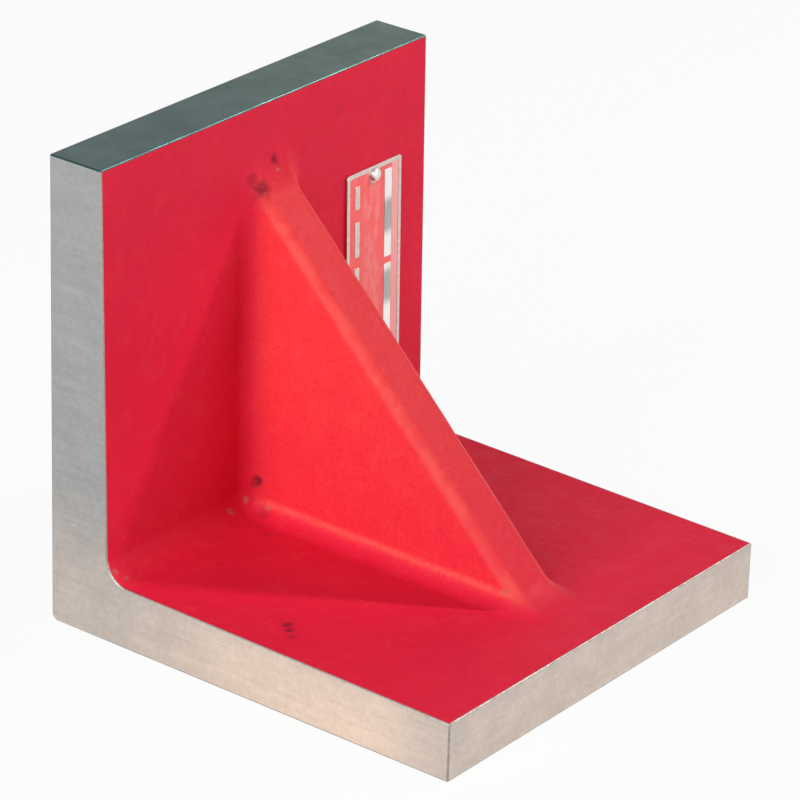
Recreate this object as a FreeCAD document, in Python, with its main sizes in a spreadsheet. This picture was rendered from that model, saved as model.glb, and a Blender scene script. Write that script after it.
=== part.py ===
import FreeCAD, Part
import math
import os

import Sketcher
from FreeCAD import Placement, Rotation, Vector

# Webbed angle plate: a wall plate and a base plate square to each other, cast in
# one piece with a triangular rib, and a small nameplate held by two drive screws.
#
# X runs along the width, +Y points out of the wall's working face, +Z is up. The
# origin is the middle of the underside, and the part stands on that face.
# Lengths are in millimetres and angles in degrees.

SIZES = [
    ("overall_width", 152.4, "casting, along X"),
    ("overall_depth", 152.4, "casting, along Y"),
    ("overall_height", 152.4, "casting, along Z"),
    ("wall_tip_thickness", 20.0, "wall, at its top edge"),
    ("wall_draft", 1.0, "slope of the wall's inner face"),
    ("base_tip_thickness", 19.0, "base, at its front edge"),
    ("base_draft", 0.5, "slope of the base's upper face"),
    ("corner_radius", 8.0, "inner corner between wall and base"),
    ("heel_chamfer", 1.5, "outer corner under the wall"),
    ("edge_break", 0.5, "all other machined edges"),
    ("rib_top_setback", 22.2, "rib's apex below the wall's top edge"),
    ("rib_front_setback", 22.2, "rib's nose behind the base's front edge"),
    ("rib_thickness", 18.0, "rib, at its sloping edge"),
    ("rib_draft", 1.0, "each side of the rib, wider towards the corner"),
    ("rib_edge_radius", 4.0, "long edges of the rib's sloping face"),
    ("rib_root_radius", 6.0, "fillet all round the rib's foot"),
    ("plate_width", 27.0, "nameplate, along X"),
    ("plate_length", 66.0, "nameplate, up the wall"),
    ("plate_thickness", 0.8, "nameplate sheet"),
    ("plate_corner_radius", 1.2, "nameplate corners"),
    ("plate_side_setback", 12.8, "nameplate in from the wall's right end"),
    ("plate_drop", 6.1, "nameplate's middle below the middle of the wall's open face"),
    ("screw_end_distance", 2.9, "screw axis in from each end of the nameplate"),
    ("screw_head_diameter", 4.4, "round head"),
    ("screw_head_height", 1.5, "round head, above the nameplate"),
    ("screw_shank_diameter", 2.2, "drive screw shank"),
    ("screw_length", 6.5, "under the head"),
    ("screw_tip_length", 0.8, "tapered end of the shank"),
    ("screw_tip_diameter", 1.4, "pilot at the end of the shank"),
    ("screw_clearance", 0.1, "shank in its hole, on the diameter"),
    ("plate_hole_clearance", 0.3, "shank in the nameplate, on the diameter"),
    ("screw_hole_spare", 1.0, "hole deeper than the screw reaches"),
]

SIZE = {name: value for name, value, meaning in SIZES}
NEAR = 0.01     # how closely an edge or face has to lie to count as on a plane

# Expressions that more than one sketch or feature uses.
WALL_TIP_Y = "sizes.overall_depth / 2 - sizes.wall_tip_thickness"
PLATE_CENTRE_X = "sizes.overall_width / 2 - sizes.plate_side_setback - sizes.plate_width / 2"
PLATE_TOP_DROP = (
    "(sizes.overall_height - sizes.base_tip_thickness - sizes.corner_radius) / 2"
    " + sizes.plate_drop - sizes.plate_length / 2")
UPPER_SCREW_DROP = f"{PLATE_TOP_DROP} + sizes.screw_end_distance"
SCREW_PITCH = "sizes.plate_length - 2 * sizes.screw_end_distance"

# The same values as numbers, for where a sketch is first drawn.
wall_tip_y = SIZE["overall_depth"] / 2 - SIZE["wall_tip_thickness"]
plate_centre_x = SIZE["overall_width"] / 2 - SIZE["plate_side_setback"] - SIZE["plate_width"] / 2
open_height = SIZE["overall_height"] - SIZE["base_tip_thickness"] - SIZE["corner_radius"]
plate_top = SIZE["plate_length"] / 2 - open_height / 2 - SIZE["plate_drop"]
upper_screw_y = plate_top - SIZE["screw_end_distance"]
screw_pitch = SIZE["plate_length"] - 2 * SIZE["screw_end_distance"]


def write_sheet(doc):
    sheet = doc.addObject("Spreadsheet::Sheet", "sizes")
    for row, (name, value, meaning) in enumerate(SIZES, 1):
        sheet.set(f"A{row}", name)
        sheet.set(f"B{row}", str(value))
        sheet.set(f"C{row}", meaning)
        sheet.setAlias(f"B{row}", name)
    doc.recompute()


def new_body(doc, name):
    body = doc.addObject("PartDesign::Body", name)
    body.Label = name
    return body


def origin_feature(body, role):
    return next(item for item in body.Origin.OriginFeatures if item.Role == role)


def new_sketch(body, name, role):
    sketch = body.newObject("Sketcher::SketchObject", name)
    sketch.AttachmentSupport = [(origin_feature(body, role), "")]
    sketch.MapMode = "FlatFace"
    return sketch


def new_feature(body, kind, name, expressions=None):
    feature = body.newObject(f"PartDesign::{kind}", name)
    for path, expression in (expressions or {}).items():
        feature.setExpression(path, expression)
    return feature


def draw_polygon(sketch, corners):
    """Lines through the corners, closed, each joined to the next; returns their indices."""
    ends = corners[1:] + corners[:1]
    lines = [
        sketch.addGeometry(Part.LineSegment(Vector(*start, 0), Vector(*end, 0)))
        for start, end in zip(corners, ends)
    ]
    for line, after in zip(lines, lines[1:] + lines[:1]):
        sketch.addConstraint(Sketcher.Constraint("Coincident", line, 2, after, 1))
    return lines


def constrain(sketch, *terms):
    return sketch.addConstraint(Sketcher.Constraint(*terms))


def drive(sketch, name, expression, *terms):
    """A dimension of the sketch that follows the sheet."""
    index = sketch.addConstraint(Sketcher.Constraint(*terms))
    sketch.renameConstraint(index, name)
    sketch.setExpression(f"Constraints.{name}", expression)


def edges_of(shape, wanted):
    """Names of the edges for which wanted(edge, faces beside it) is true."""
    return [
        f"Edge{i}" for i, edge in enumerate(shape.Edges, 1)
        if wanted(edge, shape.ancestorsOfType(edge, Part.Face))
    ]


def faces_of(shape, wanted):
    return [f"Face{i}" for i, face in enumerate(shape.Faces, 1) if wanted(face)]


def middle(edge):
    return edge.valueAt((edge.FirstParameter + edge.LastParameter) / 2)


def is_along_x(edge):
    box = edge.BoundBox
    return box.YLength < NEAR and box.ZLength < NEAR


# ---------------------------------------------------------------------------
# Casting


def draw_angle_profile(body):
    """The L of wall and base, seen along X, with a draft on both inner faces."""
    half_depth = SIZE["overall_depth"] / 2
    height = SIZE["overall_height"]
    wall_run = height * math.tan(math.radians(SIZE["wall_draft"]))
    sketch = new_sketch(body, "angle_profile", "YZ_Plane")
    underside, outer, top, inner, upper, front = draw_polygon(sketch, [
        (-half_depth, 0),
        (half_depth, 0),
        (half_depth, height),
        (wall_tip_y, height),
        (wall_tip_y - wall_run, SIZE["base_tip_thickness"]),
        (-half_depth, SIZE["base_tip_thickness"]),
    ])
    constrain(sketch, "Horizontal", underside)
    constrain(sketch, "Vertical", outer)
    constrain(sketch, "Horizontal", top)
    constrain(sketch, "Vertical", front)
    constrain(sketch, "Symmetric", underside, 1, underside, 2, -1, 1)
    drive(sketch, "depth", "sizes.overall_depth", "Distance", underside, 2 * half_depth)
    drive(sketch, "height", "sizes.overall_height", "Distance", outer, height)
    drive(sketch, "wall_tip", "sizes.wall_tip_thickness", "Distance", top,
          SIZE["wall_tip_thickness"])
    drive(sketch, "base_tip", "sizes.base_tip_thickness", "Distance", front,
          SIZE["base_tip_thickness"])
    drive(sketch, "wall_slope", "-90 - sizes.wall_draft", "Angle", inner,
          math.radians(-90 - SIZE["wall_draft"]))
    drive(sketch, "base_slope", "sizes.base_draft - 180", "Angle", upper,
          math.radians(SIZE["base_draft"] - 180))
    return sketch


def draw_rib_profile(body, angle_profile):
    """A triangle that fills the corner up to the rib's sloping edge."""
    half_depth = SIZE["overall_depth"] / 2
    apex = (wall_tip_y, SIZE["overall_height"] - SIZE["rib_top_setback"])
    nose = (SIZE["rib_front_setback"] - half_depth, SIZE["base_tip_thickness"])
    sketch = new_sketch(body, "rib_profile", "YZ_Plane")
    body.Document.recompute()
    corner = (wall_tip_y, SIZE["base_tip_thickness"])
    slope, floor, _ = draw_polygon(sketch, [apex, nose, corner])
    sketch.addExternal(angle_profile.Name, "Edge4")
    sketch.addExternal(angle_profile.Name, "Edge5")
    inner, upper = -3, -4
    constrain(sketch, "PointOnObject", slope, 1, inner)
    constrain(sketch, "PointOnObject", slope, 2, upper)
    constrain(sketch, "Coincident", floor, 2, inner, 2)
    drive(sketch, "top_setback", "sizes.rib_top_setback",
          "DistanceY", slope, 1, inner, 1, SIZE["rib_top_setback"])
    drive(sketch, "front_setback", "sizes.rib_front_setback",
          "DistanceX", upper, 2, slope, 2, SIZE["rib_front_setback"])
    return sketch


def is_rib_face(face):
    box = face.BoundBox
    limit = SIZE["rib_thickness"]
    return box.XMax < limit and box.XMin > -limit


def is_rib_side(face):
    return is_rib_face(face) and face.BoundBox.XLength < NEAR


def is_rib_slope(face):
    if not is_rib_face(face) or not isinstance(face.Surface, Part.Plane):
        return False
    normal = face.normalAt(0, 0)
    return abs(normal.x) < NEAR and normal.y < -NEAR and normal.z > NEAR


def is_slope_edge(edge, faces):
    return not is_along_x(edge) and any(is_rib_slope(face) for face in faces)


def is_foot_edge(edge, faces):
    return sum(is_rib_face(face) for face in faces) == 1


def is_machined_edge(edge, faces):
    """True for an edge that lies on one of the six outer planes, but not at the heel."""
    box = edge.BoundBox
    half_width = SIZE["overall_width"] / 2
    half_depth = SIZE["overall_depth"] / 2
    planes = [
        (box.XLength, abs(box.Center.x), half_width),
        (box.YLength, abs(box.Center.y), half_depth),
        (box.ZLength, box.Center.z, SIZE["overall_height"]),
        (box.ZLength, box.Center.z, 0),
    ]
    return any(span < NEAR and abs(at - plane) < NEAR for span, at, plane in planes)


def is_heel_edge(edge, faces):
    at = middle(edge)
    return is_along_x(edge) and at.z < NEAR and at.y > SIZE["overall_depth"] / 2 - NEAR


def is_corner_edge(edge, faces):
    at = middle(edge)
    inside = abs(at.y) < SIZE["overall_depth"] / 2 - NEAR
    return is_along_x(edge) and inside and NEAR < at.z < SIZE["overall_height"] - NEAR


def drill_screw_holes(body):
    """Two blind holes, square to the sloping inner face of the wall."""
    sketch = new_sketch(body, "screw_hole_centres", "XZ_Plane")
    sketch.AttachmentOffset = Placement(
        Vector(0, SIZE["overall_height"], -wall_tip_y), Rotation(Vector(1, 0, 0), -SIZE["wall_draft"]))
    sketch.setExpression("AttachmentOffset.Base.y", "sizes.overall_height")
    sketch.setExpression("AttachmentOffset.Base.z", f"-({WALL_TIP_Y})")
    sketch.setExpression("AttachmentOffset.Rotation.Angle", "-sizes.wall_draft")
    draw_screw_circles(sketch, "screw_shank_diameter")
    body.Document.recompute()
    holes = new_feature(body, "Hole", "screw_holes")
    holes.Profile = sketch
    holes.DepthType = "Dimension"
    holes.DrillPoint = "Angled"
    holes.setExpression("Diameter", "sizes.screw_shank_diameter + sizes.screw_clearance")
    holes.setExpression(
        "Depth", "sizes.screw_length - sizes.plate_thickness + sizes.screw_hole_spare")
    return holes


def draw_screw_circles(sketch, diameter_name, allowance="0"):
    """One circle on each screw's axis, in a sketch on the nameplate's seat."""
    radius = SIZE[diameter_name] / 2
    upper, lower = (
        sketch.addGeometry(Part.Circle(Vector(plate_centre_x, y, 0), Vector(0, 0, 1), radius))
        for y in (upper_screw_y, upper_screw_y - screw_pitch)
    )
    constrain(sketch, "Vertical", lower, 3, upper, 3)
    constrain(sketch, "Equal", lower, upper)
    drive(sketch, "diameter", f"sizes.{diameter_name} + {allowance}", "Diameter", upper, 2 * radius)
    drive(sketch, "across", PLATE_CENTRE_X, "DistanceX", -1, 1, upper, 3, plate_centre_x)
    drive(sketch, "drop", UPPER_SCREW_DROP, "DistanceY", upper, 3, -1, 1, -upper_screw_y)
    drive(sketch, "pitch", SCREW_PITCH, "DistanceY", lower, 3, upper, 3, screw_pitch)


def make_casting(doc):
    body = new_body(doc, "casting")
    angle_profile = draw_angle_profile(body)
    angle = new_feature(body, "Pad", "angle", {"Length": "sizes.overall_width"})
    angle.Profile = angle_profile
    angle.Midplane = True
    doc.recompute()

    corner = new_feature(body, "Fillet", "inner_corner", {"Radius": "sizes.corner_radius"})
    corner.Base = (angle, edges_of(angle.Shape, is_corner_edge))
    doc.recompute()

    rib = new_feature(body, "Pad", "rib", {"Length": "sizes.rib_thickness"})
    rib.Profile = draw_rib_profile(body, angle_profile)
    rib.Midplane = True
    doc.recompute()

    sides = new_feature(body, "Draft", "rib_sides", {"Angle": "sizes.rib_draft"})
    sides.Base = (rib, faces_of(rib.Shape, is_rib_side))
    sides.NeutralPlane = (rib, faces_of(rib.Shape, is_rib_slope))
    sides.Reversed = True
    doc.recompute()
    doc.recompute()     # a draft fails on its first pass and builds on its second

    rounds = new_feature(body, "Fillet", "rib_edges", {"Radius": "sizes.rib_edge_radius"})
    rounds.Base = (sides, edges_of(sides.Shape, is_slope_edge))
    doc.recompute()

    foot = new_feature(body, "Fillet", "rib_foot", {"Radius": "sizes.rib_root_radius"})
    foot.Base = (rounds, edges_of(rounds.Shape, is_foot_edge))
    doc.recompute()

    heel = new_feature(body, "Chamfer", "heel", {"Size": "sizes.heel_chamfer"})
    heel.Base = (foot, edges_of(foot.Shape, is_heel_edge))
    doc.recompute()

    breaks = new_feature(body, "Chamfer", "edge_breaks", {"Size": "sizes.edge_break"})
    breaks.Base = (heel, edges_of(heel.Shape, is_machined_edge))
    doc.recompute()

    drill_screw_holes(body)
    doc.recompute()
    return body


# ---------------------------------------------------------------------------
# Nameplate and its screws
#
# Both are drawn in the plane of the wall's inner face: X across, Y up the face
# from the wall's top edge, Z out of the face. Their Placement lays them on it.


def lay_on_wall(body):
    body.Placement = Placement(
        Vector(0, wall_tip_y, SIZE["overall_height"]),
        Rotation(Vector(1, 0, 0), 90 - SIZE["wall_draft"]))
    body.setExpression("Placement.Base.y", WALL_TIP_Y)
    body.setExpression("Placement.Base.z", "sizes.overall_height")
    body.setExpression("Placement.Rotation.Angle", "90 - sizes.wall_draft")


def make_nameplate(doc):
    body = new_body(doc, "nameplate")
    sketch = new_sketch(body, "plate_outline", "XY_Plane")
    left = plate_centre_x - SIZE["plate_width"] / 2
    right = plate_centre_x + SIZE["plate_width"] / 2
    bottom = plate_top - SIZE["plate_length"]
    lower, side, upper, other_side = draw_polygon(
        sketch, [(left, bottom), (right, bottom), (right, plate_top), (left, plate_top)])
    for line in (lower, upper):
        constrain(sketch, "Horizontal", line)
    for line in (side, other_side):
        constrain(sketch, "Vertical", line)
    drive(sketch, "width", "sizes.plate_width", "Distance", lower, SIZE["plate_width"])
    drive(sketch, "length", "sizes.plate_length", "Distance", side, SIZE["plate_length"])
    drive(sketch, "left", f"{PLATE_CENTRE_X} - sizes.plate_width / 2",
          "DistanceX", -1, 1, lower, 1, left)
    drive(sketch, "top", PLATE_TOP_DROP, "DistanceY", upper, 1, -1, 1, -plate_top)
    draw_screw_circles(sketch, "screw_shank_diameter", "sizes.plate_hole_clearance")
    sheet_metal = new_feature(body, "Pad", "sheet_metal", {"Length": "sizes.plate_thickness"})
    sheet_metal.Profile = sketch
    doc.recompute()

    corners = new_feature(
        body, "Fillet", "plate_corners", {"Radius": "sizes.plate_corner_radius"})
    corners.Base = (sheet_metal, edges_of(sheet_metal.Shape, is_plate_corner))
    lay_on_wall(body)
    doc.recompute()
    return body


def is_plate_corner(edge, faces):
    box = edge.BoundBox
    return isinstance(edge.Curve, Part.Line) and box.XLength < NEAR and box.YLength < NEAR


def draw_screw_profile(body):
    """Half of a round-head drive screw; its axis is the sketch's vertical axis."""
    seat = SIZE["plate_thickness"]
    head_radius = SIZE["screw_head_diameter"] / 2
    head_height = SIZE["screw_head_height"]
    shank_radius = SIZE["screw_shank_diameter"] / 2
    tip_radius = SIZE["screw_tip_diameter"] / 2
    end = seat - SIZE["screw_length"]
    dome_radius = (head_radius**2 + head_height**2) / (2 * head_height)
    dome_centre = seat + head_height - dome_radius
    rim_angle = math.atan2(seat - dome_centre, head_radius)

    sketch = new_sketch(body, "screw_profile", "XZ_Plane")
    sketch.AttachmentOffset = Placement(Vector(plate_centre_x, 0, -upper_screw_y), Rotation())
    sketch.setExpression("AttachmentOffset.Base.x", PLATE_CENTRE_X)
    sketch.setExpression("AttachmentOffset.Base.z", UPPER_SCREW_DROP)

    outline = [
        (0, seat + head_height),
        (0, end),
        (tip_radius, end),
        (shank_radius, end + SIZE["screw_tip_length"]),
        (shank_radius, seat),
        (head_radius, seat),
    ]
    axis, point, taper, shank, under_head = (
        sketch.addGeometry(Part.LineSegment(Vector(*start, 0), Vector(*finish, 0)))
        for start, finish in zip(outline, outline[1:])
    )
    circle = Part.Circle(Vector(0, dome_centre, 0), Vector(0, 0, 1), dome_radius)
    dome = sketch.addGeometry(Part.ArcOfCircle(circle, rim_angle, math.pi / 2))
    chain = [(axis, 2, point, 1), (point, 2, taper, 1), (taper, 2, shank, 1),
             (shank, 2, under_head, 1), (under_head, 2, dome, 1), (dome, 2, axis, 1)]
    for ends in chain:
        constrain(sketch, "Coincident", *ends)
    constrain(sketch, "PointOnObject", axis, 1, -2)
    constrain(sketch, "Vertical", axis)
    constrain(sketch, "Horizontal", point)
    constrain(sketch, "Vertical", shank)
    constrain(sketch, "Horizontal", under_head)
    constrain(sketch, "PointOnObject", dome, 3, -2)
    drive(sketch, "head_radius", "sizes.screw_head_diameter / 2",
          "DistanceX", -1, 1, under_head, 2, head_radius)
    drive(sketch, "head_height", "sizes.screw_head_height",
          "DistanceY", under_head, 2, axis, 1, head_height)
    drive(sketch, "shank_radius", "sizes.screw_shank_diameter / 2",
          "DistanceX", -1, 1, shank, 2, shank_radius)
    drive(sketch, "tip_radius", "sizes.screw_tip_diameter / 2", "Distance", point, tip_radius)
    drive(sketch, "tip_length", "sizes.screw_tip_length",
          "DistanceY", taper, 1, taper, 2, SIZE["screw_tip_length"])
    drive(sketch, "reach", "sizes.screw_length",
          "DistanceY", axis, 2, under_head, 1, SIZE["screw_length"])
    drive(sketch, "seat", "sizes.plate_thickness", "DistanceY", -1, 1, under_head, 1, seat)
    return sketch


def make_drive_screws(doc):
    body = new_body(doc, "drive_screws")
    body.AllowCompound = True
    profile = draw_screw_profile(body)
    doc.recompute()
    screw = new_feature(body, "Revolution", "screw")
    screw.Profile = profile
    screw.ReferenceAxis = (profile, ["V_Axis"])
    doc.recompute()

    pair = new_feature(body, "LinearPattern", "screw_pair", {"Length": SCREW_PITCH})
    pair.Originals = [screw]
    pair.Direction = (origin_feature(body, "Y_Axis"), [""])
    pair.Reversed = True
    pair.Occurrences = 2
    body.Tip = pair
    lay_on_wall(body)
    doc.recompute()
    return body


# ---------------------------------------------------------------------------


def check(doc, bodies):
    """Stops with a message if anything failed to build."""
    for item in doc.Objects:
        if "Invalid" in item.State or "Error" in item.State:
            raise RuntimeError(f"{item.Name} did not build: {item.State}")
        if item.isDerivedFrom("Sketcher::SketchObject") and not item.FullyConstrained:
            raise RuntimeError(f"{item.Name} is not fully constrained")
    for body in bodies:
        if body.Shape.isNull() or not body.Shape.isValid():
            raise RuntimeError(f"{body.Label} has no valid shape")
        if body.Shape.Volume <= 0:
            raise RuntimeError(f"{body.Label} encloses nothing")


doc = FreeCAD.newDocument("angle_plate")
write_sheet(doc)
bodies = [make_casting(doc), make_nameplate(doc), make_drive_screws(doc)]
doc.recompute()
check(doc, bodies)

os.makedirs("parts", exist_ok=True)
for body in bodies:
    body.Shape.exportStep(f"parts/{body.Label}.step")
    print(body.Label, len(body.Shape.Solids), "solids", round(body.Shape.Volume), "mm3")
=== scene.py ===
import math

import bmesh
import bpy
import numpy as np
from bpy.props import FloatProperty, FloatVectorProperty, IntProperty, PointerProperty
from mathutils import Matrix, Vector, noise


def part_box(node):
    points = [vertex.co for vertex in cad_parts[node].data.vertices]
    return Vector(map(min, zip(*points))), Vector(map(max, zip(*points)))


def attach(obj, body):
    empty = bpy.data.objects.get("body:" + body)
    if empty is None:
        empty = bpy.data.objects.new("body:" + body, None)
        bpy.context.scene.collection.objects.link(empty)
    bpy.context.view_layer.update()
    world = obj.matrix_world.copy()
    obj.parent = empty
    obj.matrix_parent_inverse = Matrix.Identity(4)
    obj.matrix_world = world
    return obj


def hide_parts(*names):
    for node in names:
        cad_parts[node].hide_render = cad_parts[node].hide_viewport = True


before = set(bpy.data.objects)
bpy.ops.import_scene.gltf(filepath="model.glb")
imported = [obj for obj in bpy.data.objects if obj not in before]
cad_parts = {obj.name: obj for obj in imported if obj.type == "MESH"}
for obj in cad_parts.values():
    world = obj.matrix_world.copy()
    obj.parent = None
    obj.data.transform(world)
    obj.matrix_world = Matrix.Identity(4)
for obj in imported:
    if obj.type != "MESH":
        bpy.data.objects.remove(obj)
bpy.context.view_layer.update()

bl_info = {
    "name": "Angle Plate",
    "version": (1, 0, 0),
    "blender": (4, 5, 0),
    "location": "3D View > Sidebar > Angle Plate",
    "description": "Builds a webbed angle plate, its nameplate and drive screws, and a studio",
    "category": "Add Mesh",
}

# The frame: X across, +Y out of the wall's working face, +Z up, origin under the
# middle of the base. Lengths are in metres and angles in radians.
CASTING_LOW, CASTING_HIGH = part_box("casting")
NAMEPLATE_LOW, NAMEPLATE_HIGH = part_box("nameplate")
TINY = 1e-6


def length(name, description, default):
    return FloatProperty(
        name=name, description=description, default=default, min=0, unit="LENGTH", precision=5)


def angle(name, description, default):
    return FloatProperty(
        name=name, description=description, default=math.radians(default), unit="ROTATION")


def number(name, description, default):
    return FloatProperty(name=name, description=description, default=default)


def count(name, description, default):
    return IntProperty(name=name, description=description, default=default, min=1)


def colour(name, description, default):
    return FloatVectorProperty(
        name=name, description=description, default=default, subtype="COLOR", min=0, max=1, size=3)


# ---------------------------------------------------------------------------
# Settings


class CastingSettings(bpy.types.PropertyGroup):
    wall_tip: length("Wall tip", "Thickness of the wall at its top edge", 0.020)
    wall_draft: angle("Wall draft", "Slope of the wall's inner face", 1.0)
    base_tip: length("Base tip", "Thickness of the base at its front edge", 0.019)
    base_draft: angle("Base draft", "Slope of the base's upper face", 0.5)
    corner_radius: length("Corner radius", "Fillet between wall and base", 0.008)
    heel_chamfer: length("Heel chamfer", "Outer corner under the wall", 0.0015)
    edge_break: length("Edge break", "Rounding of the machined edges", 0.0005)
    rib_top_setback: length("Rib top setback", "Apex below the wall's top edge", 0.0222)
    rib_front_setback: length("Rib front setback", "Nose behind the front edge", 0.0222)
    rib_thickness: length("Rib thickness", "Rib at its sloping edge", 0.018)
    rib_draft: angle("Rib draft", "Each side of the rib", 1.0)
    rib_edge_radius: length("Rib edge radius", "Long edges of the sloping face", 0.004)
    rib_root_radius: length("Rib root radius", "Fillet round the rib's foot", 0.006)
    cell: length("Cell", "Spacing of the mesh on the cast faces", 0.0011)
    swell: length("Swell", "Height of the slow waves left by the mould", 0.00010)
    grain: length("Grain", "Height of the finer unevenness of the cast skin", 0.00004)


class NameplateSettings(bpy.types.PropertyGroup):
    width: length("Width", "Across the nameplate", 0.027)
    length: length("Length", "Up and down the nameplate", 0.066)
    thickness: length("Thickness", "Sheet, with its raised border", 0.0008)
    corner_radius: length("Corner radius", "Corners of the sheet", 0.0012)
    border: length("Border", "Raised bright border", 0.0014)
    field_depth: length("Field depth", "Enamelled field below the border", 0.00012)
    edge_round: length("Edge round", "Rolled edge of the sheet", 0.00015)
    screw_inset: length("Screw inset", "Screws from each end", 0.0029)
    hole_radius: length("Hole radius", "Holes for the screws", 0.00125)
    tab_radius: length("Tab radius", "Bright tab round each screw", 0.0027)


class ScrewSettings(bpy.types.PropertyGroup):
    head_radius: length("Head radius", "Round head", 0.0022)
    head_height: length("Head height", "Top of the head above the nameplate", 0.0015)
    shank_radius: length("Shank radius", "Fluted shank", 0.0011)
    shank_length: length("Shank length", "Below the head", 0.0065)
    tip_length: length("Tip length", "Tapered end of the shank", 0.0008)
    tip_radius: length("Tip radius", "End of the taper", 0.0007)
    flutes: count("Flutes", "Helical ridges on the shank", 8)
    segments: count("Segments", "Steps round the screw", 64)


class FinishSettings(bpy.types.PropertyGroup):
    enamel: colour("Enamel", "Red enamel of the cast faces", (0.76, 0.0175, 0.052))
    # The warm enamel is painted light: it makes the rib's lit side warmer and brighter, most of all high
    # up.
    enamel_painted_light: colour("Warm enamel", "On the rib, where it lies thin", (0.80, 0.044, 0.046))
    enamel_deep: colour("Deep enamel", "Where the enamel lies thick", (0.60, 0.009, 0.040))
    # The pale enamel gives pale patches in the enamel, and also the painted highlight along the rib's
    # ridges and creases.
    enamel_pale_and_highlight: colour("Pale enamel", "Where the enamel is rubbed", (0.86, 0.100, 0.088))
    dirt: colour("Dirt", "Dust and oil caught in pits", (0.130, 0.010, 0.024))
    chip: colour("Chip", "Undercoat where the enamel has chipped", (0.50, 0.130, 0.100))
    iron: colour("Ground iron", "Ground faces of the wall", (0.365, 0.368, 0.366))
    # The warm iron is a painted reflection: it makes the ground faces warmer and brighter low on the
    # base.
    iron_painted_reflection: colour("Warm iron", "Ground faces low on the base", (0.800, 0.620, 0.505))
    arris: colour("Arris", "Broken edges of the ground faces", (0.34, 0.31, 0.28))
    # The dark top face is a painted reflection: dark slate green, paler to the right.
    top_face_dark_reflection: colour("Patina", "Dark face of the wall's top edge", (0.030, 0.070, 0.070))
    top_face_pale_reflection: colour("Pale patina", "Right end of the dark face", (0.054, 0.100, 0.085))
    plate_metal: colour("Nameplate metal", "Border and bars", (0.66, 0.56, 0.52))
    # The bright and dull panel metals are the two ends of a painted reflection in bands.
    panel_reflection_light: colour("Bright metal", "Panels where they shine", (0.88, 0.85, 0.82))
    panel_reflection_dark: colour("Dull metal", "Panels where they are dull", (0.42, 0.42, 0.41))
    plate_enamel: colour("Nameplate enamel", "Red field", (1.00, 0.120, 0.115))
    plate_faded: colour("Faded enamel", "Field where it has faded", (0.96, 0.300, 0.285))
    plate_pink: colour("Bleached enamel", "Right-hand border of the field", (0.97, 0.470, 0.460))
    screw_metal: colour("Screw metal", "Plated screw heads", (0.74, 0.73, 0.70))


class StageSettings(bpy.types.PropertyGroup):
    azimuth: angle("Azimuth", "Camera to the right of the front, seen from above", -52.42)
    elevation: angle("Elevation", "Camera above the floor", 24.99)
    roll: angle("Roll", "Camera turned about its own axis", 1.73)
    distance: length("Distance", "Camera to the point it looks at", 1.3519)
    aim: FloatVectorProperty(
        name="Aim", description="Point looked at, from the middle of the casting",
        default=(-0.00488, 0.0, -0.00392), subtype="TRANSLATION", unit="LENGTH")
    lens: number("Lens", "Focal length in millimetres", 202.94)
    lamp_distance: length("Lamp distance", "Lamps from the middle of the casting", 1.2)
    ambient: number("Ambient", "Level of the soft light from all round", 0.08)
    floor_colour: colour("Floor", "Colour of the floor", (0.80, 0.80, 0.80))
    floor_size: length("Floor size", "Width of the floor", 30.0)
    floor_glow: number("Floor glow", "Share of the floor's look that is plain white", 0.93)


# Round lamps that point at the middle of the casting: degrees to the right of the front,
# degrees above the floor, watts, and width in metres.
LAMPS = {
    "key": (62.5, 43.0, 6.4, 0.09),
    "side": (-96.0, 14.0, 7.4, 0.30),
    "upper": (-80.0, 30.0, 6.2, 0.6),
    "fill": (20.0, 6.0, 5.4, 0.6),
}
for lamp, (azimuth, elevation, power, width) in LAMPS.items():
    StageSettings.__annotations__.update({
        f"{lamp}_azimuth": angle(f"{lamp} azimuth", "Lamp to the right of the front", azimuth),
        f"{lamp}_elevation": angle(f"{lamp} elevation", "Lamp above the floor", elevation),
        f"{lamp}_power": number(f"{lamp} power", "Lamp in watts", power),
        f"{lamp}_size": length(f"{lamp} size", "Width of the lamp", width),
    })


# ---------------------------------------------------------------------------
# Shape of the casting


def unit(vector):
    return vector / np.linalg.norm(vector)


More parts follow.
